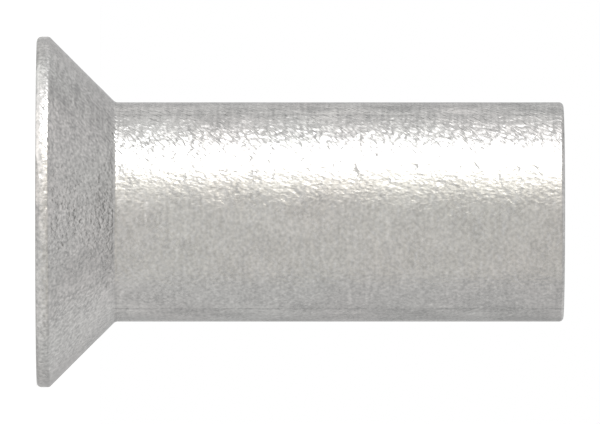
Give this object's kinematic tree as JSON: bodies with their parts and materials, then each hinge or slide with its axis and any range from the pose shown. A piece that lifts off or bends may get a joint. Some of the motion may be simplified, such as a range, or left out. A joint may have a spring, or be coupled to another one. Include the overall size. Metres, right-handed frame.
{
  "type": "sleeve nut",
  "caption": "Stainless steel sleeve nut with a countersunk head, a hexagon key socket and a blind tapped bore, standing on its head.",
  "frame": {"origin": "centre of the head's outer face, on the nut's axis", "axes": "+Z along the nut's axis, from the head towards the sleeve's open mouth; two corners of the hexagon socket lie on the X axis"},
  "size_m": [0.016, 0.016, 0.024],
  "materials": {
    "steel": "satin, lightly tumbled stainless steel"
  },
  "bodies": {
    "root": {"sleeve_nut": "steel"}
  },
  "joints": []
}
